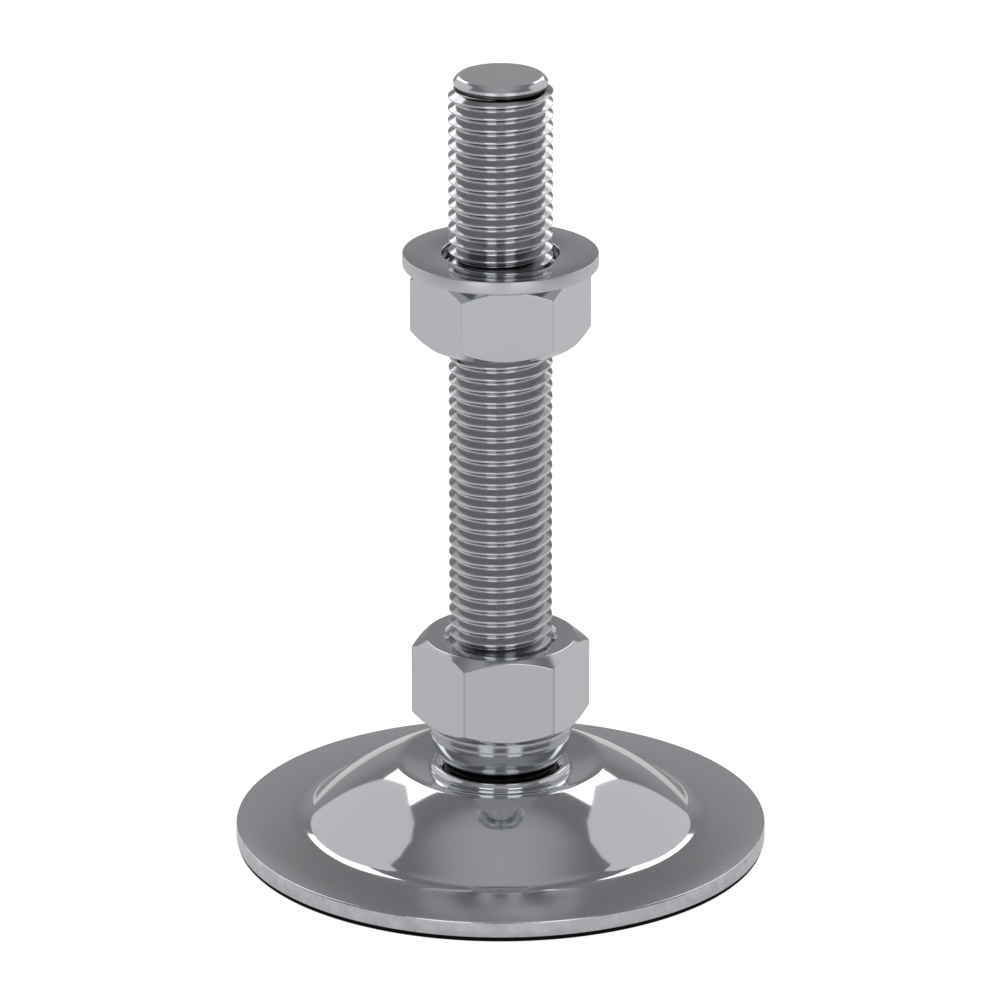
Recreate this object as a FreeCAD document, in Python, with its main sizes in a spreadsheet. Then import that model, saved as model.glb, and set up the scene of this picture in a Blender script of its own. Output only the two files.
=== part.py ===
import FreeCAD, Part
import os
import Sketcher

# A swivelling levelling foot for a machine. A pressed steel base plate stands on a rubber pad and
# carries a ball joint. The ball is turned in one piece with a hexagon, into which a long threaded
# stud is screwed. A nut and a washer on the stud carry the machine's bracket.
# Millimetres, +Z up, origin under the middle of the pad, on the surface that the foot stands on.

doc = FreeCAD.newDocument("levelling_foot")
sheet = doc.addObject("Spreadsheet::Sheet", "Sizes")

SIZES = {
    "plate_radius": 77.0,
    "sheet": 4.8,
    "plate_edge_round": 0.5,
    "pad_thickness": 1.4,
    "pad_inset": 0.4,
    "pad_edge_chamfer": 0.4,
    "grip_first": 34.0,
    "grip_pitch": 8.0,
    "grip_width": 1.2,
    "grip_depth": 0.5,
    "dome_sphere": 80.0,
    "dome_rise": 24.7,
    "flange_fall": 1.23707,
    "dome_foot_fillet": 9.0,
    "crater_angle": 13.0,
    "crown_fillet": 12.0,
    "lip_seat": 16.6,
    "lip_radius": 20.6,
    "lip_height": 1.6,
    "lip_outer_round": 1.5,
    "lip_inner_round": 1.7,
    "lip_bore": 17.2,
    "socket_body": 19.0,
    "socket_wall": 2.8,
    "ball_radius": 20.9,
    "ball_rise": 14.5,
    "ball_neck": 0.5,
    "liner_wall": 1.2,
    "slide_gap": 0.3,
    "lean": 10.0,
    "lean_play": 0.4,
    "hex_flats": 45.0,
    "hex_height": 25.6,
    "hex_crown": 21.6,
    "hex_slope": 33.0,
    "hex_turn": 6.4,
    "stud_radius": 14.85,
    "stud_end_height": 231.6,
    "stud_end_radius": 11.8,
    "stud_end_bevel": 1.75,
    "stud_depth": 29.0,
    "thread_play": 0.05,
    "bore_mouth": 16.5,
    "bore_tip": 0.6,
    "nut_foot": 153.3,
    "nut_height": 21.8,
    "nut_slope": 38.0,
    "nut_turn": 5.0,
    "washer_radius": 27.9,
    "washer_bore": 16.75,
    "washer_thickness": 4.0,
    "washer_round": 0.8,
    "washer_break": 0.25,
    "face_gap": 0.3,
    "screw_radius": 4.0,
    "screw_grip": 14.0,
    "screw_head_radius": 7.0,
    "screw_head_height": 4.0,
    "screw_head_round": 1.6,
    "screw_key": 5.0,
    "screw_key_depth": 2.4,
    "cup_wall": 2.0,
    "cup_cover": 1.2,
    "cup_land": 8.0,
    "spring_radius": 7.8,
    "spring_wall": 0.9,
    "spring_cone": 0.4,
}

# Heights and radii that follow from the sizes above, so that each piece meets its neighbours.
FOLLOWING = {
    "plate_foot": "pad_thickness",
    "flange_top": "pad_thickness + sheet",
    "pad_radius": "plate_radius - pad_inset",
    "pad_foot_radius": "pad_radius - pad_edge_chamfer",
    "dome_centre": "flange_top + dome_rise - dome_sphere",
    "foot_top": "flange_top + flange_fall",
    "foot_radius": "sqrt(dome_sphere ^ 2 - (foot_top - dome_centre) ^ 2)",
    "flange_run": "plate_radius - foot_radius",
    "flange_slant": "sqrt(flange_run ^ 2 + flange_fall ^ 2)",
    "lip_foot": "flange_top + lip_seat",
    "lip_top": "lip_foot + lip_height",
    "crater_base": "lip_foot - lip_radius * tan(crater_angle)",
    "crater_drop": "crater_base - dome_centre",
    "crater_radius": "cos(crater_angle) ^ 2 * (sqrt(dome_sphere ^ 2 * (1 + tan(crater_angle) ^ 2)"
    " - crater_drop ^ 2) - crater_drop * tan(crater_angle))",
    "crater_rim": "crater_base + crater_radius * tan(crater_angle)",
    "hollow_sphere": "dome_sphere - sheet",
    "foot_share": "1 + (foot_radius * flange_fall + (foot_top - dome_centre) * flange_run)"
    " / (dome_sphere * flange_slant)",
    "hollow_foot": "foot_radius - sheet * (foot_radius / dome_sphere + flange_fall / flange_slant)"
    " / foot_share",
    "hollow_floor": "foot_top - sheet * ((foot_top - dome_centre) / dome_sphere + flange_run"
    " / flange_slant) / foot_share",
    "pad_edge_top": "plate_foot + pad_inset * (hollow_floor - plate_foot) / (plate_radius - hollow_foot)",
    "hollow_base": "crater_base - sheet / cos(crater_angle)",
    "hollow_drop": "hollow_base - dome_centre",
    "hollow_rim_radius": "cos(crater_angle) ^ 2 * (sqrt(hollow_sphere ^ 2 * (1 + tan(crater_angle) ^ 2)"
    " - hollow_drop ^ 2) - hollow_drop * tan(crater_angle))",
    "hollow_rim": "hollow_base + hollow_rim_radius * tan(crater_angle)",
    "hole_top": "crater_base + socket_body * tan(crater_angle)",
    "hole_foot": "hollow_base + socket_body * tan(crater_angle)",
    "ball_height": "lip_foot + ball_rise",
    "liner_inside": "ball_radius + slide_gap",
    "liner_outside": "liner_inside + liner_wall",
    "socket_inside": "liner_outside + slide_gap",
    "socket_outside": "socket_inside + socket_wall",
    "socket_mouth": "ball_height - sqrt(socket_inside ^ 2 - lip_bore ^ 2)",
    "socket_hole": "screw_radius * cos(lean) + sqrt(socket_outside ^ 2 - screw_radius ^ 2) * sin(lean)"
    " + lean_play",
    "socket_hole_top": "ball_height - sqrt(socket_inside ^ 2 - socket_hole ^ 2)",
    "socket_hole_foot": "ball_height - sqrt(socket_outside ^ 2 - socket_hole ^ 2)",
    "socket_body_foot": "ball_height - sqrt(socket_outside ^ 2 - socket_body ^ 2)",
    "liner_top": "socket_mouth - slide_gap",
    "liner_top_inside": "sqrt(liner_inside ^ 2 - (ball_height - liner_top) ^ 2)",
    "liner_top_outside": "sqrt(liner_outside ^ 2 - (ball_height - liner_top) ^ 2)",
    "liner_hole_top": "ball_height - sqrt(liner_inside ^ 2 - socket_hole ^ 2)",
    "liner_hole_foot": "ball_height - sqrt(liner_outside ^ 2 - socket_hole ^ 2)",
    "ball_foot": "ball_height - ball_radius",
    "hex_foot": "ball_height + ball_neck",
    "hex_top": "hex_foot + hex_height",
    "hex_reach": "hex_flats * 0.62",
    "hex_bevel": "(hex_reach - hex_crown) * tan(hex_slope)",
    "hex_top_bevel": "hex_top - hex_bevel",
    "hex_foot_bevel": "hex_foot + hex_bevel",
    "thread_bore": "stud_radius + thread_play",
    "stud_foot": "hex_top - stud_depth",
    "stud_foot_bevel": "stud_foot + stud_radius - stud_end_radius",
    "stud_bevel_foot": "stud_end_height - stud_end_bevel",
    "bore_foot": "stud_foot - bore_tip",
    "bore_mouth_foot": "hex_top - (bore_mouth - thread_bore)",
    "screw_top": "ball_foot + screw_grip",
    "cup_inside": "socket_outside + slide_gap",
    "cup_outside": "cup_inside + cup_wall",
    "cup_bore": "screw_radius + slide_gap",
    "cup_foot": "ball_height - sqrt(cup_outside ^ 2 - cup_land ^ 2)",
    "cup_radius": "socket_hole * cos(lean) + sqrt(socket_outside ^ 2 - socket_hole ^ 2) * sin(lean)"
    " + cup_cover",
    "cup_bore_top": "ball_height - sqrt(cup_inside ^ 2 - cup_bore ^ 2)",
    "cup_edge_top": "ball_height - sqrt(cup_inside ^ 2 - cup_radius ^ 2)",
    "cup_edge_foot": "ball_height - sqrt(cup_outside ^ 2 - cup_radius ^ 2)",
    "spring_bore_top": "cup_foot - slide_gap",
    "spring_edge_top": "spring_bore_top - spring_cone",
    "spring_bore_foot": "spring_bore_top - spring_wall",
    "spring_edge_foot": "spring_edge_top - spring_wall",
    "head_top": "spring_edge_foot",
    "head_foot": "head_top - screw_head_height",
    "nut_top": "nut_foot + nut_height",
    "nut_bevel": "(hex_reach - hex_crown) * tan(nut_slope)",
    "nut_top_bevel": "nut_top - nut_bevel",
    "nut_foot_bevel": "nut_foot + nut_bevel",
    "nut_mouth_top": "nut_top - (bore_mouth - thread_bore)",
    "nut_mouth_foot": "nut_foot + (bore_mouth - thread_bore)",
    "washer_foot": "nut_top + face_gap",
    "washer_top": "washer_foot + washer_thickness",
}

# The rings of grip grooves under the pad follow one another at one pitch.
GRIP_COUNT = 5
for ring in range(GRIP_COUNT):
    FOLLOWING[f"grip_inside_{ring}"] = f"grip_first + {ring} * grip_pitch"
    FOLLOWING[f"grip_outside_{ring}"] = f"grip_inside_{ring} + grip_width"

for row, (alias, value) in enumerate(SIZES.items(), 1):
    sheet.set(f"A{row}", alias)
    sheet.set(f"B{row}", str(value))
    sheet.setAlias(f"B{row}", alias)
for row, (alias, formula) in enumerate(FOLLOWING.items(), len(SIZES) + 1):
    sheet.set(f"A{row}", alias)
    sheet.set(f"B{row}", "=" + formula)
    sheet.setAlias(f"B{row}", alias)
doc.recompute()


def size(alias):
    return float(sheet.get(alias))


# A corner of an outline is a pair of cell names, its distance from the axis and its height. None
# puts it on the axis, or on the floor.
def place_corner(sketch, line, end, corner):
    for kind, cell, own_axis in (("DistanceX", corner[0], -2), ("DistanceY", corner[1], -1)):
        if cell is None:
            sketch.addConstraint(Sketcher.Constraint("PointOnObject", line, end, own_axis))
        else:
            index = sketch.addConstraint(Sketcher.Constraint(kind, -1, 1, line, end, size(cell)))
            sketch.setExpression(f"Constraints[{index}]", f"Sizes.{cell}")


def corner_point(corner):
    radius, height = (0.0 if cell is None else size(cell) for cell in corner)
    return FreeCAD.Vector(radius, height, 0)


def round_edge(start, end):
    centre_height = (end.dot(end) - start.dot(start)) / (2 * (end.y - start.y))
    centre = FreeCAD.Vector(0, centre_height, 0)
    middle = (start + end) * 0.5 - centre
    middle.multiply((start - centre).Length / middle.Length)
    return Part.Arc(start, centre + middle, end)


# A closed outline in the plane of X and Z. The edges that start at a corner named in spheres are
# arcs about a centre on the axis, and the others are straight.
def outline(body, name, corners, spheres=()):
    sketch = body.newObject("Sketcher::SketchObject", name)
    sketch.AttachmentSupport = (origin_part(body, "XZ_Plane"), [""])
    sketch.MapMode = "FlatFace"
    points = [corner_point(corner) for corner in corners]
    ends = []
    for index, start in enumerate(points):
        end = points[(index + 1) % len(points)]
        if corners[index] in spheres:
            line = sketch.addGeometry(round_edge(start, end), False)
            sketch.addConstraint(Sketcher.Constraint("PointOnObject", line, 3, -2))
        else:
            line = sketch.addGeometry(Part.LineSegment(start, end), False)
        forward = sketch.getPoint(line, 1).isEqual(start, 1e-6)
        ends.append((line, 1, 2) if forward else (line, 2, 1))
    for index, (line, first, last) in enumerate(ends):
        next_line, next_first, next_last = ends[(index + 1) % len(ends)]
        sketch.addConstraint(Sketcher.Constraint("Coincident", line, last, next_line, next_first))
        place_corner(sketch, line, first, corners[index])
    return sketch


def origin_part(body, role):
    return next(feature for feature in body.Origin.OriginFeatures if feature.Role == role)


def turned(body, name, corners, spheres=(), kind="PartDesign::Revolution"):
    sketch = outline(body, name + "_outline", corners, spheres)
    feature = body.newObject(kind, name)
    feature.Profile = sketch
    feature.ReferenceAxis = (sketch, ["V_Axis"])
    feature.Angle = 360
    doc.recompute()
    return feature


# The circular edges at the given corners of an outline, where each gets its own rounding.
def round_corners(body, name, corners, radius, kind="PartDesign::Fillet"):
    base = body.Tip
    edges = []
    for corner in corners:
        wanted = corner_point(corner)
        for number, edge in enumerate(base.Shape.Edges, 1):
            if not isinstance(edge.Curve, Part.Circle) or edge.Curve.Center.Length > 1e6:
                continue
            same_height = abs(edge.Curve.Center.z - wanted.y) < 1e-4
            if same_height and abs(edge.Curve.Radius - wanted.x) < 1e-4:
                edges.append(f"Edge{number}")
    feature = body.newObject(kind, name)
    feature.Base = (base, edges)
    feature.setExpression("Radius" if kind == "PartDesign::Fillet" else "Size", radius)
    doc.recompute()
    return feature


def new_body(label):
    body = doc.addObject("PartDesign::Body", label)
    body.Label = label
    return body


# Six equal sides about the axis, with two of them square to Y, raised from one height by another,
# or cut up from it.
def hexagon(body, name, flats, foot, height, kind="PartDesign::Pad"):
    sketch = body.newObject("Sketcher::SketchObject", name + "_outline")
    sketch.AttachmentSupport = (origin_part(body, "XY_Plane"), [""])
    sketch.MapMode = "FlatFace"
    sketch.setExpression("AttachmentOffset.Base.z", f"Sizes.{foot}")
    reach = size(flats) / 3**0.5
    corner = FreeCAD.Vector(reach, 0, 0)
    turn = FreeCAD.Rotation(FreeCAD.Vector(0, 0, 1), 60)
    ring = sketch.addGeometry(Part.Circle(FreeCAD.Vector(0, 0, 0), FreeCAD.Vector(0, 0, 1), reach), True)
    sketch.addConstraint(Sketcher.Constraint("Coincident", ring, 3, -1, 1))
    sides = []
    for _ in range(6):
        following = turn.multVec(corner)
        sides.append(sketch.addGeometry(Part.LineSegment(corner, following), False))
        corner = following
    for index, side in enumerate(sides):
        following = sides[(index + 1) % 6]
        sketch.addConstraint(Sketcher.Constraint("Coincident", side, 2, following, 1))
        sketch.addConstraint(Sketcher.Constraint("PointOnObject", side, 1, ring))
        if index:
            sketch.addConstraint(Sketcher.Constraint("Equal", sides[0], side))
    sketch.addConstraint(Sketcher.Constraint("Horizontal", sides[1]))
    across = sketch.addConstraint(Sketcher.Constraint("Radius", ring, reach))
    sketch.setExpression(f"Constraints[{across}]", f"Sizes.{flats} / sqrt(3)")
    feature = body.newObject(kind, name)
    feature.Profile = sketch
    feature.Reversed = kind == "PartDesign::Pocket"
    feature.setExpression("Length", f"Sizes.{height}")
    doc.recompute()
    return feature


# The soft round disc under the plate, bonded to the flange and as hollow as the flange is.
pad = new_body("rubber_pad")
turned(
    pad,
    "pad_disc",
    [(None, None), ("pad_foot_radius", None), ("pad_radius", "pad_edge_chamfer"),
     ("pad_radius", "pad_edge_top"), ("hollow_foot", "hollow_floor"), (None, "hollow_floor")],
)
for ring in range(GRIP_COUNT):
    turned(
        pad,
        f"grip_groove_{ring}",
        [(f"grip_inside_{ring}", None), (f"grip_outside_{ring}", None),
         (f"grip_outside_{ring}", "grip_depth"), (f"grip_inside_{ring}", "grip_depth")],
        kind="PartDesign::Groove",
    )

# The pressed sheet: a flange that falls a little to its rim, a dome that is part of a sphere, and a
# shallow crater on top with the hole for the socket. The sheet is equally thick all the way.
plate = new_body("base_plate")
turned(
    plate,
    "pressed_sheet",
    [("plate_radius", "plate_foot"), ("plate_radius", "flange_top"), ("foot_radius", "foot_top"),
     ("crater_radius", "crater_rim"), ("socket_body", "hole_top"), ("socket_body", "hole_foot"),
     ("hollow_rim_radius", "hollow_rim"), ("hollow_foot", "hollow_floor")],
    spheres=[("foot_radius", "foot_top"), ("hollow_rim_radius", "hollow_rim")],
)
round_corners(plate, "foot_bend", [("foot_radius", "foot_top")], "Sizes.dome_foot_fillet")
round_corners(plate, "foot_bend_under", [("hollow_foot", "hollow_floor")],
              "Sizes.dome_foot_fillet + Sizes.sheet")
round_corners(plate, "crown_bend", [("crater_radius", "crater_rim")], "Sizes.crown_fillet")
round_corners(plate, "crown_bend_under", [("hollow_rim_radius", "hollow_rim")],
              "Sizes.crown_fillet - Sizes.sheet")
round_corners(plate, "cut_edge", [("plate_radius", "flange_top"), ("plate_radius", "plate_foot")],
              "Sizes.plate_edge_round")

# The turned socket, pressed into the plate's hole from above. Its round lip lies on the crater,
# and its two faces are spheres about the middle of the ball.
socket = new_body("ball_socket")
turned(
    socket,
    "socket_bowl",
    [("lip_radius", "lip_foot"), ("lip_radius", "lip_top"), ("lip_bore", "lip_top"),
     ("lip_bore", "socket_mouth"), ("socket_hole", "socket_hole_top"),
     ("socket_hole", "socket_hole_foot"), ("socket_body", "socket_body_foot"),
     ("socket_body", "hole_top")],
    spheres=[("lip_bore", "socket_mouth"), ("socket_hole", "socket_hole_foot")],
)
round_corners(socket, "lip_outside", [("lip_radius", "lip_top")], "Sizes.lip_outer_round")
round_corners(socket, "lip_inside", [("lip_bore", "lip_top")], "Sizes.lip_inner_round")

# The plastic bearing shell between the ball and its socket.
liner = new_body("ball_liner")
turned(
    liner,
    "liner_shell",
    [("liner_top_outside", "liner_top"), ("liner_top_inside", "liner_top"),
     ("socket_hole", "liner_hole_top"), ("socket_hole", "liner_hole_foot")],
    spheres=[("liner_top_inside", "liner_top"), ("socket_hole", "liner_hole_foot")],
)


# The corners of a hexagon are turned off to a cone at each end.
def turn_off_corners(body, foot, foot_bevel, top, top_bevel):
    turned(body, "foot_cone", [("hex_crown", foot), ("hex_reach", foot), ("hex_reach", foot_bevel)],
           kind="PartDesign::Groove")
    turned(body, "top_cone", [("hex_crown", top), ("hex_reach", top_bevel), ("hex_reach", top)],
           kind="PartDesign::Groove")


# The hexagon for the spanner with the ball below it, turned from one bar. The stud's blind bore
# comes from above, and the tapped hole for the holding screw from below.
swivel = new_body("swivel_hex")
hexagon(swivel, "hexagon_bar", "hex_flats", "hex_foot", "hex_height")
turn_off_corners(swivel, "hex_foot", "hex_foot_bevel", "hex_top", "hex_top_bevel")
turned(
    swivel,
    "ball",
    [(None, "ball_foot"), ("ball_radius", "ball_height"), ("ball_radius", "hex_foot"), (None, "hex_foot")],
    spheres=[(None, "ball_foot")],
)
turned(
    swivel,
    "stud_bore",
    [(None, "bore_foot"), ("thread_bore", "bore_foot"), ("thread_bore", "bore_mouth_foot"),
     ("bore_mouth", "hex_top"), (None, "hex_top")],
    kind="PartDesign::Groove",
)
turned(
    swivel,
    "screw_bore",
    [(None, "ball_foot"), ("screw_radius", "ball_foot"), ("screw_radius", "screw_top"),
     (None, "screw_top")],
    kind="PartDesign::Groove",
)

# The long stud, screwed down to the bottom of its bore and locked there.
stud = new_body("threaded_stud")
turned(
    stud,
    "stud_bar",
    [(None, "stud_foot"), ("stud_end_radius", "stud_foot"), ("stud_radius", "stud_foot_bevel"),
     ("stud_radius", "stud_bevel_foot"), ("stud_end_radius", "stud_end_height"),
     (None, "stud_end_height")],
)

# The nut that sets the height of the machine, with a countersink at both mouths of its thread.
nut = new_body("height_nut")
hexagon(nut, "nut_bar", "hex_flats", "nut_foot", "nut_height")
turn_off_corners(nut, "nut_foot", "nut_foot_bevel", "nut_top", "nut_top_bevel")
turned(
    nut,
    "nut_thread",
    [(None, "nut_foot"), ("bore_mouth", "nut_foot"), ("thread_bore", "nut_mouth_foot"),
     ("thread_bore", "nut_mouth_top"), ("bore_mouth", "nut_top"), (None, "nut_top")],
    kind="PartDesign::Groove",
)

# The flat washer that lies on the nut, under the machine's bracket.
washer = new_body("flat_washer")
turned(
    washer,
    "washer_ring",
    [("washer_bore", "washer_foot"), ("washer_radius", "washer_foot"),
     ("washer_radius", "washer_top"), ("washer_bore", "washer_top")],
)
round_corners(washer, "punched_edge", [("washer_radius", "washer_foot")], "Sizes.washer_round")
round_corners(washer, "top_edges", [("washer_radius", "washer_top"), ("washer_bore", "washer_top")],
              "Sizes.washer_break")

# The dished washer that slides under the socket and keeps the ball from lifting out.
cup = new_body("cup_washer")
turned(
    cup,
    "cup_disc",
    [("cup_bore", "cup_foot"), ("cup_land", "cup_foot"), ("cup_radius", "cup_edge_foot"),
     ("cup_radius", "cup_edge_top"), ("cup_bore", "cup_bore_top")],
    spheres=[("cup_land", "cup_foot"), ("cup_radius", "cup_edge_top")],
)

# The conical spring washer under the screw's head.
spring = new_body("disc_spring")
turned(
    spring,
    "spring_cone_ring",
    [("cup_bore", "spring_bore_foot"), ("spring_radius", "spring_edge_foot"),
     ("spring_radius", "spring_edge_top"), ("cup_bore", "spring_bore_top")],
)

# The low-headed screw that holds the joint together from below, with its hexagon socket.
screw = new_body("holding_screw")
turned(
    screw,
    "screw_bar",
    [(None, "head_foot"), ("screw_head_radius", "head_foot"), ("screw_head_radius", "head_top"),
     ("screw_radius", "head_top"), ("screw_radius", "screw_top"), (None, "screw_top")],
)
round_corners(screw, "head_round", [("screw_head_radius", "head_foot")], "Sizes.screw_head_round")
solid_screw = screw.Shape.Volume
hexagon(screw, "key_socket", "screw_key", "head_foot", "screw_key_depth", "PartDesign::Pocket")
if screw.Shape.Volume > solid_screw - 10:
    raise RuntimeError("the key socket has missed the screw's head")

# The two hexagons stand turned a little from square, each by its own angle.
swivel.setExpression("Placement.Rotation.Angle", "Sizes.hex_turn * 1 deg")
nut.setExpression("Placement.Rotation.Angle", "Sizes.nut_turn * 1 deg")
doc.recompute()

bodies = [pad, plate, socket, liner, swivel, stud, nut, washer, cup, spring, screw]

for item in doc.Objects:
    if "Invalid" in item.State or "Error" in item.State:
        raise RuntimeError(f"{item.Label} is {item.State}")
os.makedirs("parts", exist_ok=True)
for body in bodies:
    shape = body.Shape
    if shape.isNull() or not shape.isValid() or len(shape.Solids) != 1:
        raise RuntimeError(f"{body.Label} has no sound solid")
    shape.exportStep(f"parts/{body.Label}.step")
    print(body.Label, round(shape.Volume / 1000, 2), "cm3")
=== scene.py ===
import math

import bmesh
import bpy
from mathutils import Matrix, Vector


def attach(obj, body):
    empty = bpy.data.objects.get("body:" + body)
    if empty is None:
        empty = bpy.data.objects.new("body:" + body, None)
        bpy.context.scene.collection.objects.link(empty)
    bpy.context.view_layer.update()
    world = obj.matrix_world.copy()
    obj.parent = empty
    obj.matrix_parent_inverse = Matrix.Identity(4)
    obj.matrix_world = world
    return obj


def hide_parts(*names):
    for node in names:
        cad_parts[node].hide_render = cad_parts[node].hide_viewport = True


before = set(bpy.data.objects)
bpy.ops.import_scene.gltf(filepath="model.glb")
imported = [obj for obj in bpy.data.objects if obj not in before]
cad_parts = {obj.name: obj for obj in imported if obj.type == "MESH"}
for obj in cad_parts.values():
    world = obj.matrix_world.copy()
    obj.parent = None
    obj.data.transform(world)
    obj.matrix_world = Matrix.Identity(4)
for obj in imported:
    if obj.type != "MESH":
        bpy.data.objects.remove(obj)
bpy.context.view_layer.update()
scene = bpy.context.scene

# The camera stands about 1.9 m in front of the foot and looks down on it with a long lens, as in
# the photograph. It looks at a point on the stud's axis, a little above the lower hexagon.
LOOKS_AT = Vector((0.0, 0.0, 0.1046))
STANDS_AT = Vector((0.0, -1.8860, 0.7929))
camera = bpy.data.objects.new("camera", bpy.data.cameras.new("camera"))
scene.collection.objects.link(camera)
scene.camera = camera
camera.location = STANDS_AT
camera.rotation_euler = (LOOKS_AT - STANDS_AT).to_track_quat("-Z", "Y").to_euler()
camera.data.sensor_width = 36.0
camera.data.lens = 252.0
camera.data.shift_x = -0.0006
camera.data.clip_end = 20.0


# The rubber pad is a thin black moulded disc, bonded under the plate. Only its edge shows, and from
# below its ring grooves. Its skin is matt and slightly grainy, greyer where it has been walked on.
class Socket:
    """A socket of a material's nodes, with the sums that are worked on it."""

    def __init__(self, nodes, output):
        self.nodes = nodes
        self.output = output

    def maths(self, operation, *values):
        return self.nodes.add("Math", {"operation": operation}, *values)

    def __add__(self, other):
        return self.maths("ADD", self, other)

    def __radd__(self, other):
        return self.maths("ADD", other, self)

    def __sub__(self, other):
        return self.maths("SUBTRACT", self, other)

    def __rsub__(self, other):
        return self.maths("SUBTRACT", other, self)

    def __mul__(self, other):
        return self.maths("MULTIPLY", self, other)

    def __rmul__(self, other):
        return self.maths("MULTIPLY", other, self)

    def __truediv__(self, other):
        return self.maths("DIVIDE", self, other)

    def root(self):
        return self.maths("SQRT", self)

    def clipped(self):
        return self.nodes.add("Clamp", {}, self)


class Finish:
    """A material whose surface is one Principled shader."""

    def __init__(self, name, metallic, roughness, **fixed):
        self.material = bpy.data.materials.new(name)
        self.material.use_nodes = True
        self.tree = self.material.node_tree
        self.tree.nodes.clear()
        surface = self.tree.nodes.new("ShaderNodeOutputMaterial")
        self.shader = self.tree.nodes.new("ShaderNodeBsdfPrincipled")
        self.tree.links.new(self.shader.outputs[0], surface.inputs["Surface"])
        self.put(self.shader.inputs["Metallic"], metallic)
        self.put(self.shader.inputs["Roughness"], roughness)
        for socket, value in fixed.items():
            self.put(self.shader.inputs[socket.replace("_", " ")], value)

    def put(self, socket, value):
        """Joins a worked-out value to a node's socket, or sets it to a fixed one."""
        if isinstance(value, Socket):
            self.tree.links.new(value.output, socket)
        else:
            socket.default_value = value

    def add(self, kind, settings, *values, out=0, **named):
        """A new node, with its settings, and its sockets fed in order or by name."""
        node = self.tree.nodes.new("ShaderNode" + kind)
        for key, value in settings.items():
            if key == "stops":
                for place, (position, colour) in enumerate(value):
                    elements = node.color_ramp.elements
                    stop = elements[place] if place < 2 else elements.new(position)
                    stop.position = position
                    stop.color = colour
            else:
                setattr(node, key, value)
        for socket, value in zip(node.inputs, values):
            if value is not None:
                self.put(socket, value)
        for socket, value in named.items():
            self.put(node.inputs[socket.replace("_", " ")], value)
        return Socket(self, node.outputs[out])

    def place(self):
        """The piece's own coordinates."""
        return self.add("TexCoord", {}, out=3)

    def position(self):
        """How far east, north and up a point of the piece is."""
        split = self.tree.nodes.new("ShaderNodeSeparateXYZ")
        self.put(split.inputs[0], self.place())
        return [Socket(self, output) for output in split.outputs]

    def height_and_radius(self):
        """The height of a point of the piece, and its distance from the stud's axis."""
        east, north, height = self.position()
        return height, (east * east + north * north).root()

    def noise(self, vector, scale, detail=3.0, roughness=0.55):
        return self.add(
            "TexNoise", {}, Vector=vector, Scale=scale, Detail=detail, Roughness=roughness
        )

    def ramp(self, value, low, high, stops):
        """A colour that runs through the stops while the value runs from low to high."""
        colours = [(position, (*colour, 1.0)) for position, colour in stops]
        return self.add("ValToRGB", {"stops": colours}, (value - low) / (high - low))

    def colour(self, value):
        self.put(self.shader.inputs["Base Color"], value)

    def rough(self, value):
        self.put(self.shader.inputs["Roughness"], value)

    def bump(self, height, strength, distance):
        self.put(
            self.shader.inputs["Normal"],
            self.add("Bump", {}, Strength=strength, Distance=distance, Height=height),
        )


def past(value, start, width):
    """Nothing up to the start and one from a width beyond it, upwards or, if negative, downwards."""
    return ((value - start) / width).clipped()


def dress(node, finish):
    """Gives a piece of the frame its finish and leaves its form as it is."""
    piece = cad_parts[node]
    piece.data.materials.clear()
    piece.data.materials.append(finish.material)


pad_rubber = Finish("pad_rubber", 0.0, 0.72, Specular_IOR_Level=0.08)
grain = pad_rubber.noise(pad_rubber.place(), 900.0, 4.0)
scuff = pad_rubber.noise(pad_rubber.place(), 60.0, 5.0, 0.65)
pad_rubber.colour(
    pad_rubber.ramp(scuff, 0.35, 0.75, [(0.0, (0.002, 0.002, 0.002)), (1.0, (0.006, 0.006, 0.006))])
)
pad_rubber.rough(0.62 + 0.2 * scuff)
pad_rubber.bump(grain + scuff, 0.35, 0.0002)
dress("rubber_pad", pad_rubber)


# The base plate is thick steel sheet, blanked as a round disc and pressed up into a dome, with a
# shallow crater round the socket. It is nickel plated: the dome is a mirror, the flange is hazy and
# painted darker in front as shade, and the cut edge keeps a blotchy, fine upright grain.
ROUND_STEPS = 192
SAME_POINT = 2e-5
WELD = 1e-7
SHARP = math.radians(28.0)


class Outline:
    """The half-section of a turned piece, drawn corner by corner and arc by arc in the XZ plane."""

    def __init__(self, radius, height):
        self.bm = bmesh.new()
        self.end = self.start = self.bm.verts.new((radius, 0.0, height))

    def line(self, radius, height):
        reached = self.bm.verts.new((radius, 0.0, height))
        self.bm.edges.new((self.end, reached))
        self.end = reached

    def arc(self, radius, height, degrees, steps):
        made = bmesh.ops.spin(
            self.bm, geom=[self.end], cent=(radius, 0.0, height), axis=(0.0, 1.0, 0.0),
            angle=math.radians(degrees), steps=steps,
        )
        self.end = next(item for item in made["geom_last"] if isinstance(item, bmesh.types.BMVert))

    def close(self):
        self.bm.edges.new((self.end, self.start))

    def soften(self, radius, height, width, segments=4):
        """Rounds the corner that lies at a point of the outline."""
        near = [v for v in self.bm.verts if (v.co - Vector((radius, 0.0, height))).length < SAME_POINT]
        bmesh.ops.bevel(
            self.bm, geom=near, affect="VERTICES", offset=width, segments=segments,
            profile=0.5, material=-1,
        )

    def turned(self, name):
        """The solid of the outline turned about the stud's axis."""
        bmesh.ops.remove_doubles(self.bm, verts=self.bm.verts[:], dist=WELD)
        bmesh.ops.spin(
            self.bm, geom=self.bm.verts[:] + self.bm.edges[:], cent=(0.0, 0.0, 0.0),
            axis=(0.0, 0.0, 1.0), angle=math.tau, steps=ROUND_STEPS, use_merge=True,
        )
        bmesh.ops.remove_doubles(self.bm, verts=self.bm.verts[:], dist=WELD)
        bmesh.ops.dissolve_degenerate(self.bm, dist=WELD, edges=self.bm.edges[:])
        return finished(self.bm, name)


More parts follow.
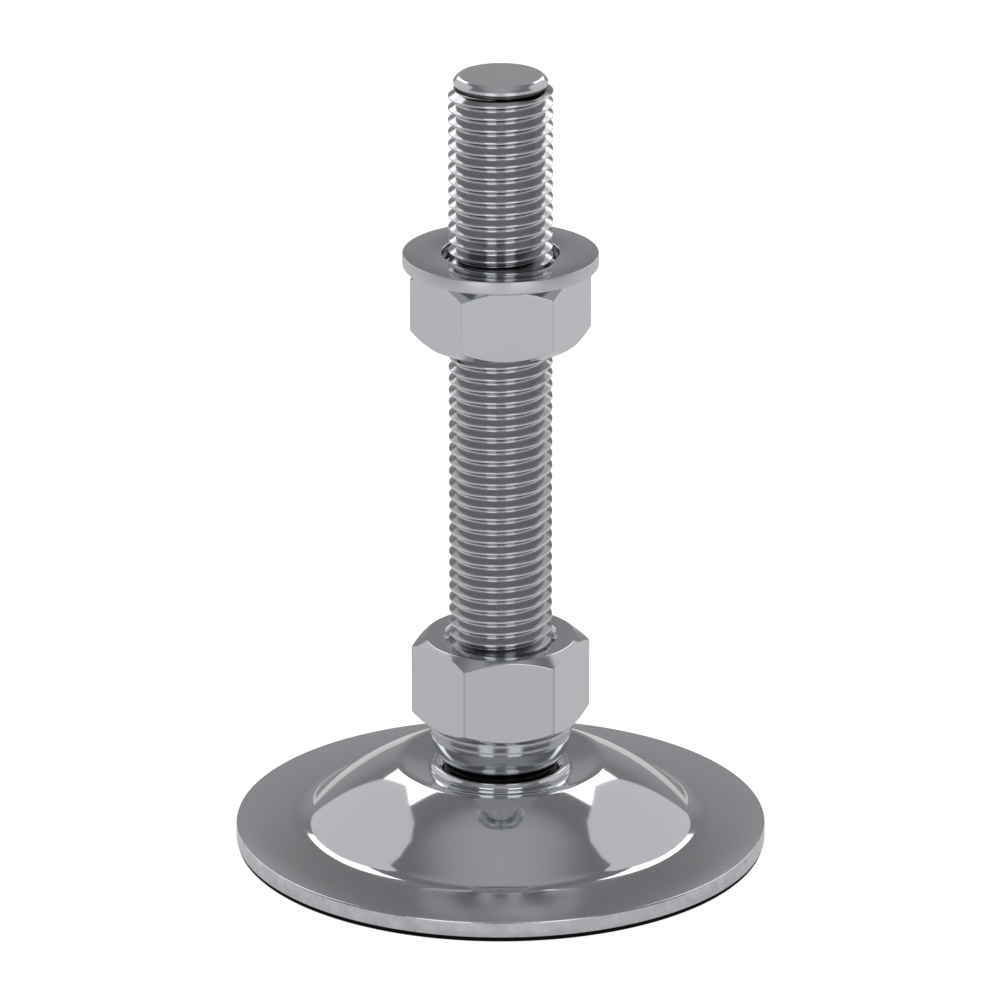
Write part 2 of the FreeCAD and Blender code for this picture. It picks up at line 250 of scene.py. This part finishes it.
def finished(bm, name):
    """The mesh's object, with its faces outwards, smooth but for the edges that are sharp."""
    bmesh.ops.recalc_face_normals(bm, faces=bm.faces[:])
    for face in bm.faces:
        face.smooth = True
    for edge in bm.edges:
        edge.smooth = len(edge.link_faces) != 2 or edge.calc_face_angle(0.0) <= SHARP
    mesh = bpy.data.meshes.new(name)
    bm.to_mesh(mesh)
    bm.free()
    piece = bpy.data.objects.new(name, mesh)
    scene.collection.objects.link(piece)
    return piece


def handed_over(piece, body, node, finish):
    """Gives a modelled piece its finish, and puts it in the place of the frame's piece."""
    piece.data.materials.clear()
    piece.data.materials.append(finish.material)
    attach(piece, body)
    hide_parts(node)


PLATE_RADIUS = 0.0770
PLATE_FOOT = 0.0014
FLANGE_TOP = 0.0062
SHEET = 0.0048
DOME = 0.0800
DOME_CENTRE = -0.0491
FOOT_RADIUS = 0.0566
FOOT_BEND = 0.0090
CROWN_BEND = 0.0055
CRATER = math.radians(16.0)
LIP_FOOT = 0.0228
LIP_RADIUS = 0.0206
PLATE_HOLE = 0.0190


def bend_middle(reach, base, slope):
    """Where a line of the half-section meets the circle of that radius about the dome's middle."""
    low = base - DOME_CENTRE
    away = (math.sqrt(reach**2 * (1 + slope**2) - low**2) - low * slope) / (1 + slope**2)
    return away, base + away * slope


def foot_and_crown(outline, depth):
    """From the flange up the dome's side and over the crown, so far below the sheet's top face."""
    away, height = foot_middle
    reach = FOOT_BEND + depth
    outline.line(away - reach * math.sin(flange_lean), height - reach * math.cos(flange_lean))
    steep = math.asin(away / (DOME + FOOT_BEND))
    outline.arc(away, height, math.degrees(steep - flange_lean), 24)
    away, height = crown_middle
    crown_steep = math.atan2(away, height - DOME_CENTRE)
    outline.arc(0.0, DOME_CENTRE, math.degrees(crown_steep - steep), 48)
    outline.arc(away, height, math.degrees(-CRATER - crown_steep), 32)


def crater_height(radius, depth):
    """The height of the crater's floor, so far below the sheet's top face."""
    return LIP_FOOT + (radius - LIP_RADIUS) * math.tan(CRATER) - depth / math.cos(CRATER)


foot_top = DOME_CENTRE + math.sqrt(DOME**2 - FOOT_RADIUS**2)
flange_lean = math.atan2(foot_top - FLANGE_TOP, PLATE_RADIUS - FOOT_RADIUS)
flange_base = FLANGE_TOP + PLATE_RADIUS * math.tan(flange_lean) + FOOT_BEND / math.cos(flange_lean)
foot_middle = bend_middle(DOME + FOOT_BEND, flange_base, -math.tan(flange_lean))
crown_middle = bend_middle(DOME - CROWN_BEND, crater_height(0.0, CROWN_BEND), math.tan(CRATER))
# The sheet's top face and its underside are drawn apart and joined at the hole and at the rim.
plate = Outline(PLATE_RADIUS, PLATE_FOOT)
plate.line(PLATE_RADIUS, FLANGE_TOP)
foot_and_crown(plate, 0.0)
plate.line(PLATE_HOLE, crater_height(PLATE_HOLE, 0.0))
plate.line(PLATE_HOLE, crater_height(PLATE_HOLE, SHEET))
inner = Outline(PLATE_RADIUS, PLATE_FOOT)
foot_and_crown(inner, SHEET)
under = bpy.data.meshes.new("under")
inner.bm.to_mesh(under)
plate.bm.from_mesh(under)
bpy.data.meshes.remove(under)
bmesh.ops.remove_doubles(plate.bm, verts=plate.bm.verts[:], dist=10 * WELD)
open_ends = [v for v in plate.bm.verts if len(v.link_edges) == 1]
plate.bm.edges.new(open_ends)
plate.soften(PLATE_RADIUS, FLANGE_TOP, 0.0005)
plate.soften(PLATE_RADIUS, PLATE_FOOT, 0.0004)
pressed_plate = plate.turned("pressed_plate")


NICKEL = (0.632, 0.643, 0.668)
SHADED_NICKEL = (0.40, 0.407, 0.42)
FLANGE_STARTS = 0.0580
FRONT_SHADE_REACH = 0.045


def nickel(name, roughness, tint=None):
    """Bright nickel over steel: a mirror with small changes of gloss and, with a tint, of colour."""
    metal = Finish(name, 1.0, roughness)
    cloud = metal.noise(metal.place(), 55.0, 4.0, 0.6)
    metal.rough(roughness * (0.85 + 0.3 * cloud))
    if tint:
        dimmed = tuple(0.975 * part for part in tint)
        metal.colour(metal.ramp(cloud, 0.3, 0.7, [(0.0, dimmed), (1.0, tint)]))
    return metal


sheet_nickel = Finish("sheet_nickel", 1.0, 0.07)
east, north, _ = sheet_nickel.position()
radius = (east * east + north * north).root()
flange = past(radius, FLANGE_STARTS, 0.004)
cut_edge = past(radius, PLATE_RADIUS - 0.0006, 0.0003)
haze = sheet_nickel.noise(sheet_nickel.place(), 55.0, 4.0, 0.6)
# Painted shade: the flange's colour is made darker towards the front.
front_shade = (flange - cut_edge) * past(north, 0.0, -FRONT_SHADE_REACH)
blotch = sheet_nickel.noise(sheet_nickel.place(), 240.0, 4.0, 0.7)
sheet_nickel.colour(sheet_nickel.ramp(
    1.0 - 0.25 * front_shade + 0.75 * cut_edge * (blotch - 0.5), 0.0, 1.2,
    [(0.0, (0.0, 0.0, 0.0)), (1.0, (0.751, 0.764, 0.794))],
))
sheet_nickel.rough(0.06 + 0.02 * haze + 0.16 * (flange - cut_edge))
stretched = sheet_nickel.add(
    "Mapping", {}, Vector=sheet_nickel.place(), Scale=(1.0, 1.0, 0.12)
)
upright = sheet_nickel.noise(stretched, 900.0, 3.0, 0.7)
orange_peel = sheet_nickel.noise(sheet_nickel.place(), 420.0, 2.0)
sheet_nickel.bump(orange_peel + 25.0 * cut_edge * upright, 0.10, 0.00004)
handed_over(pressed_plate, "base", "base_plate", sheet_nickel)


# The ball's socket is turned from bar and pressed into the plate's hole. Only its lip shows, a
# bright rolled collar that slopes down to the crater, with the dark gap round the ball inside it.
BALL_CENTRE = 0.0373
SOCKET_INSIDE = 0.0227
SOCKET_OUTSIDE = 0.0255
SOCKET_HOLE = 0.00875
LIP_TOP = 0.0244
LIP_ROLL = 0.0012
LIP_EDGE = 0.0008
LIP_EDGE_HEIGHT = 0.0231
LIP_FACE = math.radians(50.0)

face_foot = LIP_RADIUS - LIP_EDGE * (1 - math.cos(LIP_FACE))
face_rise = LIP_TOP - LIP_ROLL - LIP_EDGE_HEIGHT + (LIP_ROLL - LIP_EDGE) * math.sin(LIP_FACE)
lip_middle = face_foot - face_rise * math.tan(LIP_FACE) - LIP_ROLL * math.cos(LIP_FACE)
lip_bore = lip_middle - LIP_ROLL


def below_ball(radius, reach):
    """How high a sphere about the ball's middle is at a distance from the axis."""
    return BALL_CENTRE - math.sqrt(reach**2 - radius**2)


def steepness(radius, reach):
    """How many degrees from straight down such a sphere's point lies, seen from its middle."""
    return math.degrees(math.asin(radius / reach))


socket = Outline(LIP_RADIUS, LIP_FOOT)
socket.line(LIP_RADIUS, LIP_EDGE_HEIGHT)
socket.arc(LIP_RADIUS - LIP_EDGE, LIP_EDGE_HEIGHT, -math.degrees(LIP_FACE), 10)
socket.line(
    lip_middle + LIP_ROLL * math.cos(LIP_FACE), LIP_TOP - LIP_ROLL * (1 - math.sin(LIP_FACE))
)
socket.arc(lip_middle, LIP_TOP - LIP_ROLL, math.degrees(LIP_FACE) - 180.0, 24)
socket.line(lip_bore, below_ball(lip_bore, SOCKET_INSIDE))
socket.arc(
    0.0, BALL_CENTRE,
    steepness(lip_bore, SOCKET_INSIDE) - steepness(SOCKET_HOLE, SOCKET_INSIDE), 24,
)
socket.line(SOCKET_HOLE, below_ball(SOCKET_HOLE, SOCKET_OUTSIDE))
socket.arc(
    0.0, BALL_CENTRE,
    steepness(SOCKET_HOLE, SOCKET_OUTSIDE) - steepness(PLATE_HOLE, SOCKET_OUTSIDE), 24,
)
socket.line(PLATE_HOLE, crater_height(PLATE_HOLE, 0.0))
socket.close()
turned_socket = socket.turned("turned_socket")
ring_nickel = nickel("ring_nickel", 0.10, NICKEL)
height, radius = ring_nickel.height_and_radius()
rings = ring_nickel.noise(ring_nickel.add("CombineXYZ", {}, radius, height, 0.0), 2600.0, 2.0)
ring_nickel.bump(rings, 0.12, 0.00003)
handed_over(turned_socket, "base", "ball_socket", ring_nickel)


# The bearing shell between the ball and its socket is coloured near black, as painted shade in the
# gap: it is just seen as the dark line at the foot of the ball.
shade_liner_black = Finish("shade_liner_black", 0.0, 0.35)
streak = shade_liner_black.noise(shade_liner_black.place(), 300.0, 3.0)
# Painted shade: the shell's near-black colour darkens the gap round the ball.
shade_liner_black.colour(
    shade_liner_black.ramp(streak, 0.3, 0.7, [(0.0, (0.010, 0.010, 0.010)), (1.0, (0.02, 0.02, 0.02))])
)
shade_liner_black.rough(0.3 + 0.15 * streak)
shade_liner_black.bump(streak, 0.2, 0.00005)
dress("ball_liner", shade_liner_black)


# The hexagon and the ball below it are turned from one hexagonal bar: the lathe cuts the cones at
# both ends, the ball, and the countersunk bore for the stud. The flats keep a soft drawn skin.
HEX_FLATS = 0.0450
HEX_FOOT = 0.0378
HEX_TOP = 0.0634
HEX_CROWN = 0.0216
HEX_SLOPE = math.tan(math.radians(33.0))
HEX_TURN = math.radians(6.4)
BALL = 0.0209
BORE = 0.0149
BORE_MOUTH = 0.0165
BORE_FOOT = 0.0338
BEYOND = 0.0290
BAR_SPARE = 0.001
CORNER_ROUND = 0.0004
EDGE_BREAK = 0.00022
CORNER_SHADE_LINE = 0.02572


def hexagonal_bar(foot, top, turn):
    """A hexagonal bar with soft corners, a little longer at both ends than the piece from it."""
    foot -= BAR_SPARE
    top += BAR_SPARE
    bm = bmesh.new()
    bmesh.ops.create_circle(
        bm, cap_ends=True, segments=6, radius=HEX_FLATS / math.sqrt(3),
        matrix=Matrix.Translation((0.0, 0.0, foot)) @ Matrix.Rotation(turn + math.pi / 2, 4, "Z"),
    )
    made = bmesh.ops.extrude_face_region(bm, geom=bm.faces[:])
    risen = [item for item in made["geom"] if isinstance(item, bmesh.types.BMVert)]
    bmesh.ops.translate(bm, verts=risen, vec=(0.0, 0.0, top - foot))
    upright = [e for e in bm.edges if abs(e.verts[0].co.z - e.verts[1].co.z) > BAR_SPARE]
    bmesh.ops.bevel(
        bm, geom=upright, affect="EDGES", offset=CORNER_ROUND, segments=4, profile=0.5,
        material=-1,
    )
    return finished(bm, "bar")


def combined(operation, piece, other, name, edge_width):
    """What two solids share or make up together, with its sharp edges broken to a width, if any."""
    meeting = piece.modifiers.new("meeting", "BOOLEAN")
    meeting.operation = operation
    meeting.solver = "MANIFOLD"
    meeting.object = other
    mesh = bpy.data.meshes.new_from_object(
        piece.evaluated_get(bpy.context.evaluated_depsgraph_get())
    )
    bm = bmesh.new()
    bm.from_mesh(mesh)
    for old in (piece, other):
        bpy.data.meshes.remove(old.data)
    bmesh.ops.remove_doubles(bm, verts=bm.verts[:], dist=20 * WELD)
    bmesh.ops.dissolve_degenerate(bm, dist=20 * WELD, edges=bm.edges[:])
    if edge_width:
        sharp = [
            e for e in bm.edges
            if len(e.link_faces) == 2 and e.calc_face_angle(0.0) > math.radians(20.0)
        ]
        bmesh.ops.bevel(
            bm, geom=sharp, affect="EDGES", offset=edge_width, segments=3, profile=0.5,
            material=-1, clamp_overlap=True,
        )
    joined = finished(bm, name)
    flats = joined.modifiers.new("flats", "WEIGHTED_NORMAL")
    flats.keep_sharp = True
    flats.weight = 100
    return joined


def cones_and_bore(outline, foot, top, slope):
    """The turned outline of a hexagon piece from the crown of its foot to its bore's top."""
    reach = (BEYOND - HEX_CROWN) * slope
    outline.line(HEX_CROWN, foot)
    outline.line(BEYOND, foot + reach)
    outline.line(BEYOND, top - reach)
    outline.line(HEX_CROWN, top)
    outline.line(BORE_MOUTH, top)
    outline.line(BORE, top - (BORE_MOUTH - BORE))


swivel = Outline(0.0, BALL_CENTRE - BALL)
swivel.arc(0.0, BALL_CENTRE, -90.0, 48)
cones_and_bore(swivel, HEX_FOOT, HEX_TOP, HEX_SLOPE)
swivel.line(BORE, BORE_FOOT)
swivel.line(0.0, BORE_FOOT)
swivel.soften(BALL, BALL_CENTRE, 0.0005, 6)
lathe_work = swivel.turned("lathe_work")
bar = hexagonal_bar(BALL_CENTRE - BALL, HEX_TOP, HEX_TURN)
swivel_ball = combined("INTERSECT", bar, lathe_work, "swivel_ball", EDGE_BREAK)
hex_nickel = nickel("hex_nickel", 0.12)
height, radius = hex_nickel.height_and_radius()
turning = hex_nickel.noise(hex_nickel.add("CombineXYZ", {}, radius, height, 0.0), 1800.0, 3.0)
drawn = hex_nickel.noise(hex_nickel.place(), 130.0, 3.0)
# Painted shade: a thin darker line of colour runs along each corner of the hexagon.
corner = past(radius, CORNER_SHADE_LINE, 0.00005)
hex_nickel.colour(hex_nickel.ramp(
    corner + 0.1 * drawn, 0.0, 1.0, [(0.0, (0.625, 0.636, 0.660)), (1.0, (0.52, 0.53, 0.55))]
))
hex_nickel.bump(turning + 1.5 * drawn, 0.12, 0.00004)
handed_over(swivel_ball, "swivel", "swivel_hex", hex_nickel)


# The stud is an M30 bar with a rolled right-hand thread of 3.5 mm pitch, screwed down into the
# hexagon. At the top the thread runs out in a neck, painted near black as shade, under a rounded
# collar. Its flanks are painted dim as shade, darker than the crests and roots, and its end face is
# painted bright as a highlight.
STUD = 0.01485
STUD_END = 0.0118
STUD_TOP = 0.2316
PITCH = 0.0035
THREAD_DEPTH = 0.00205
THREAD_FOOT = 0.0480
THREAD_START = math.radians(100.0)
TURN_STEPS = 96
CREST_HALF = 0.07
ROOT_HALF = 0.05
OVERSIZE = 0.0004
RUN_OUT = 0.0010
NECK_LEDGE = 0.0003
NECK = 0.0123
NECK_FOOT = 0.2280
COLLAR = 0.01335
COLLAR_FOOT = 0.2292
LIT_BAND = 0.00022
COLLAR_LOW = math.radians(30.0)
COLLAR_HIGH = math.radians(62.0)
COLLAR_ROUND = (COLLAR - STUD_END) / (math.cos(COLLAR_LOW) - math.cos(COLLAR_HIGH))

# One turn of the thread is drawn from root to root, spun once round and repeated up the stud.
root = STUD - THREAD_DEPTH
thread = Outline(root, THREAD_FOOT)
crests = [THREAD_FOOT + (0.5 + side * CREST_HALF) * PITCH for side in (-1, 1)]
roots = [THREAD_FOOT + ROOT_HALF * PITCH, THREAD_FOOT + (1 - ROOT_HALF) * PITCH]
thread.line(root, roots[0])
thread.line(STUD, crests[0])
thread.line(STUD, crests[1])
thread.line(root, roots[1])
thread.line(root, THREAD_FOOT + PITCH)
for height in crests:
    thread.soften(STUD, height, 0.00006, 2)
for height in roots:
    thread.soften(root, height, 0.00008, 2)
bm = thread.bm
bmesh.ops.rotate(
    bm, verts=bm.verts[:], cent=(0.0, 0.0, 0.0), matrix=Matrix.Rotation(THREAD_START, 3, "Z")
)
bmesh.ops.spin(
    bm, geom=bm.verts[:] + bm.edges[:], cent=(0.0, 0.0, 0.0), axis=(0.0, 0.0, 1.0),
    dvec=(0.0, 0.0, PITCH / TURN_STEPS), angle=math.tau, steps=TURN_STEPS,
)
coil = finished(bm, "coil")
turns = coil.modifiers.new("turns", "ARRAY")
turns.use_relative_offset = False
turns.use_constant_offset = True
turns.constant_offset_displace = (0.0, 0.0, PITCH)
turns.count = math.ceil((STUD_TOP - THREAD_FOOT) / PITCH) + 1
turns.use_merge_vertices = True
turns.merge_threshold = 10 * WELD
bm = bmesh.new()
bm.from_mesh(
    bpy.data.meshes.new_from_object(coil.evaluated_get(bpy.context.evaluated_depsgraph_get()))
)
bpy.data.meshes.remove(coil.data)
bmesh.ops.remove_doubles(bm, verts=bm.verts[:], dist=10 * WELD)
for level, above in ((THREAD_FOOT + 1.5 * PITCH, False), (STUD_TOP + 0.5 * PITCH, True)):
    bmesh.ops.bisect_plane(
        bm, geom=bm.verts[:] + bm.edges[:] + bm.faces[:], dist=WELD,
        plane_co=(0.0, 0.0, level), plane_no=(0.0, 0.0, 1.0),
        clear_outer=above, clear_inner=not above,
    )
open_edges = [e for e in bm.edges if len(e.link_faces) == 1]
bmesh.ops.holes_fill(bm, edges=open_edges, sides=0)
screw_form = finished(bm, "screw_form")

# The turns are kept inside a blank that narrows to the neck, and neck and collar are added.
stud_foot = THREAD_FOOT + 2 * PITCH
blank = Outline(0.0, stud_foot)
blank.line(STUD + OVERSIZE, stud_foot)
blank.line(STUD + OVERSIZE, NECK_FOOT - RUN_OUT)
blank.line(NECK + NECK_LEDGE, NECK_FOOT)
blank.line(0.0, NECK_FOOT)
screw = combined("INTERSECT", screw_form, blank.turned("stud_blank"), "screw", 0.0)
tip = Outline(0.0, NECK_FOOT - PITCH)
tip.line(NECK, NECK_FOOT - PITCH)
tip.line(NECK, COLLAR_FOOT)
tip.line(COLLAR, COLLAR_FOOT)
tip.line(COLLAR, STUD_TOP - COLLAR_ROUND * (math.sin(COLLAR_HIGH) - math.sin(COLLAR_LOW)))
tip.arc(
    COLLAR - COLLAR_ROUND * math.cos(COLLAR_LOW), STUD_TOP - COLLAR_ROUND * math.sin(COLLAR_HIGH),
    math.degrees(COLLAR_LOW - COLLAR_HIGH), 8,
)
tip.line(0.0, STUD_TOP)
threaded_bar = combined("UNION", screw, tip.turned("tip"), "threaded_bar", 0.0)
thread_nickel = nickel("thread_nickel", 0.14)
height, radius = thread_nickel.height_and_radius()
# Painted shade: the flanks are coloured dim, and only the crests and roots keep the plain nickel.
lit_crest = past(radius, STUD - LIT_BAND, 0.0001)
lit_root = past(radius, root + LIT_BAND, -0.0001)
# Painted highlight: the stud's end face is coloured brighter than the rest.
end = past(height, STUD_TOP - 0.0001, 0.0001)
collar = past(height, COLLAR_FOOT, 0.0001)
# Painted shade: the neck under the collar is coloured near black.
neck_shade = past(height, NECK_FOOT - 0.0003, 0.0003) - collar
rolled = thread_nickel.noise(thread_nickel.place(), 180.0, 3.0)
thread_nickel.colour(thread_nickel.ramp(
    1.0 + (lit_crest + lit_root + collar).clipped() + end - 2.0 * neck_shade + 0.1 * rolled, 0.0, 3.0,
    [(0.0, (0.06, 0.061, 0.063)), (0.333, SHADED_NICKEL), (0.667, NICKEL), (1.0, (0.83, 0.842, 0.865))],
))
thread_nickel.bump(thread_nickel.noise(thread_nickel.place(), 500.0, 3.0), 0.15, 0.00005)
handed_over(threaded_bar, "swivel", "threaded_stud", thread_nickel)


# The nut is cold formed from hexagonal bar and sets the machine's height. Its corners are turned
# off at both ends, and its thread has a countersunk mouth.
NUT_FOOT = 0.1533
NUT_TOP = 0.1751
NUT_SLOPE = math.tan(math.radians(38.0))
NUT_TURN = math.radians(5.0)

nut = Outline(BORE_MOUTH, NUT_FOOT)
cones_and_bore(nut, NUT_FOOT, NUT_TOP, NUT_SLOPE)
nut.line(BORE, NUT_FOOT + BORE_MOUTH - BORE)
nut.close()
nut_work = nut.turned("nut_work")
bar = hexagonal_bar(NUT_FOOT, NUT_TOP, NUT_TURN)
hexagon_nut = combined("INTERSECT", bar, nut_work, "hexagon_nut", EDGE_BREAK)
nut_nickel = nickel("nut_nickel", 0.14, (0.620, 0.631, 0.655))
pressed = nut_nickel.noise(nut_nickel.place(), 130.0, 3.0)
nut_nickel.bump(pressed, 0.18, 0.00004)
handed_over(hexagon_nut, "nut", "height_nut", nut_nickel)


# The flat washer is punched from plate, so its lower edge is rounded and its upper one is crisp.
# It lies on the nut, under the machine's bracket.
WASHER = 0.0279
WASHER_BORE = 0.01675
WASHER_FOOT = 0.1754
WASHER_TOP = 0.1794

washer = Outline(WASHER_BORE, WASHER_FOOT)
washer.line(WASHER, WASHER_FOOT)
washer.line(WASHER, WASHER_TOP)
washer.line(WASHER_BORE, WASHER_TOP)
washer.close()
washer.soften(WASHER, WASHER_FOOT, 0.0008, 6)
washer.soften(WASHER, WASHER_TOP, 0.00025)
washer.soften(WASHER_BORE, WASHER_TOP, 0.00025)
punched_washer = washer.turned("punched_washer")
washer_nickel = nickel("washer_nickel", 0.11, NICKEL)
rim = past(washer_nickel.height_and_radius()[1], WASHER - 0.0003, 0.0002)
washer_nickel.rough(0.11 + 0.26 * rim)
washer_nickel.bump(washer_nickel.noise(washer_nickel.place(), 260.0, 3.0), 0.10, 0.00004)
handed_over(punched_washer, "washer", "flat_washer", washer_nickel)


# Under the dome, out of sight, a screw with a spring washer and a dished washer holds the ball in
# its socket. They are zinc plated and dull.
zinc = Finish("dull_zinc", 1.0, 0.42)
spangle = zinc.noise(zinc.place(), 240.0, 4.0)
zinc.colour(zinc.ramp(spangle, 0.3, 0.7, [(0.0, (0.36, 0.37, 0.38)), (1.0, (0.50, 0.51, 0.52))]))
zinc.rough(0.32 + 0.2 * spangle)
zinc.bump(spangle, 0.2, 0.00008)
for node in ("cup_washer", "disc_spring", "holding_screw"):
    dress(node, zinc)


# The studio is a pale floor under a large soft dome. A wide light hangs close by on each side behind
# the foot, each with a bright inner edge, and two upright strips stand beside the camera.
def stage_piece(bm, name, material):
    """A thing of the studio, which isn't part of the foot."""
    mesh = bpy.data.meshes.new(name)
    bm.to_mesh(mesh)
    bm.free()
    piece = bpy.data.objects.new(name, mesh)
    scene.collection.objects.link(piece)
    mesh.materials.append(material)
    return piece


def glow(name, strength):
    """A surface that only shines, white and even."""
    material = bpy.data.materials.new(name)
    material.use_nodes = True
    material.node_tree.nodes.clear()
    emission = material.node_tree.nodes.new("ShaderNodeEmission")
    emission.inputs["Strength"].default_value = strength
    surface = material.node_tree.nodes.new("ShaderNodeOutputMaterial")
    material.node_tree.links.new(emission.outputs[0], surface.inputs["Surface"])
    return material


LIGHTS_AWAY = 0.9
DOME_LEVEL = 0.02


def wall_light(name, corners, strength):
    """A glowing sheet given by its corners, each as degrees round from the back and degrees up."""
    bm = bmesh.new()
    spots = []
    for round_from_back, up in corners:
        turn, rise = math.radians(round_from_back), math.radians(up)
        out = LIGHTS_AWAY * math.cos(rise)
        spots.append(bm.verts.new((
            out * math.sin(turn), out * math.cos(turn), DOME_LEVEL + LIGHTS_AWAY * math.sin(rise)
        )))
    bm.faces.new(spots)
    stage_piece(bm, name, glow(name, strength)).visible_camera = False


# Each light's corners follow the edges of its reflection on the photographed dome.
for side in (-1, 1):
    wall_light(
        "back_light",
        [(side * 31.4, 1), (side * 91, 1), (side * 91, 46), (side * 88, 52.5), (side * 78, 57.3),
         (side * 61.3, 56.5), (side * 47.1, 50.2), (side * 33.7, 40.2), (side * 29.1, 26)],
        strength=0.72,
    )
    wall_light(
        "edge_light",
        [(side * 20, 26), (side * 29.1, 26), (side * 33.7, 40.2), (side * 47.1, 50.2),
         (side * 25.7, 54.9), (side * 18, 38)],
        strength=2.2,
    )
    wall_light(
        "strip_light",
        [(side * 145, -1.2), (side * 168, -1.2), (side * 168, 41), (side * 145, 38)],
        strength=1.5,
    )

# The soft dome's light depends on the direction alone. It is brightest overhead and falls off in
# the steps that the crater and the flange mirror in the photo.
dome_glow = Finish("soft_dome", 0.0, 1.0, Base_Color=(0.0, 0.0, 0.0, 1.0), Specular_IOR_Level=0.0)
towards = dome_glow.tree.nodes.new("ShaderNodeSeparateXYZ")
dome_glow.tree.links.new(
    dome_glow.add("VectorMath", {"operation": "NORMALIZE"}, dome_glow.place()).output,
    towards.inputs[0],
)
east, north = (Socket(dome_glow, output) for output in towards.outputs[:2])
behind = north.maths("MAXIMUM", north, 0.0)
before = north.maths("MAXIMUM", -0.6 - north, 0.0)
away = (east * east + 2.2 * behind * behind + 3.0 * before * before).root()
dome_glow.put(dome_glow.shader.inputs["Emission Strength"], 1.0)
dome_glow.put(dome_glow.shader.inputs["Emission Color"], dome_glow.ramp(away, 0.0, 1.5, [
    (0.0, (0.44, 0.442, 0.446)), (0.127, (0.418, 0.420, 0.424)), (0.203, (0.377, 0.379, 0.383)),
    (0.25, (0.341, 0.343, 0.347)), (0.313, (0.252, 0.254, 0.257)), (0.36, (0.210, 0.212, 0.215)),
    (0.53, (0.230, 0.232, 0.235)), (0.667, (0.290, 0.292, 0.296)), (0.80, (0.250, 0.252, 0.255)),
    (0.89, (0.262, 0.264, 0.267)), (0.93, (0.325, 0.327, 0.331)), (0.965, (0.355, 0.357, 0.361)),
]))
dome_glow.material.cycles.emission_sampling = "NONE"
shell = bmesh.new()
bmesh.ops.create_uvsphere(shell, u_segments=64, v_segments=32, radius=2.6)
bmesh.ops.reverse_faces(shell, faces=shell.faces[:])
soft_dome = stage_piece(shell, "soft_dome", dome_glow.material)
soft_dome.visible_camera = False

world = bpy.data.worlds.new("studio")
scene.world = world
world.use_nodes = True
world.node_tree.nodes["Background"].inputs["Color"].default_value = (1.0, 1.0, 1.0, 1.0)

# The floor glows for the camera, which makes it white, and a little for what mirrors it.
paper = Finish("paper", 0.0, 0.9, Specular_IOR_Level=0.0)
paper.colour((0.80, 0.80, 0.80, 1.0))
seen = paper.add("LightPath", {}, out=0)
mirrored = paper.add("LightPath", {}, out=3)
paper.put(paper.shader.inputs["Emission Strength"], 1.0)
paper.put(paper.shader.inputs["Emission Color"], paper.ramp(
    0.8 * seen + 0.25 * mirrored, 0.0, 1.0, [(0.0, (0.0, 0.0, 0.0)), (1.0, (1.0, 1.0, 1.0))]
))
ground = bmesh.new()
bmesh.ops.create_grid(ground, x_segments=1, y_segments=1, size=6.0)
stage_piece(ground, "floor", paper.material)

scene.view_settings.view_transform = "Standard"
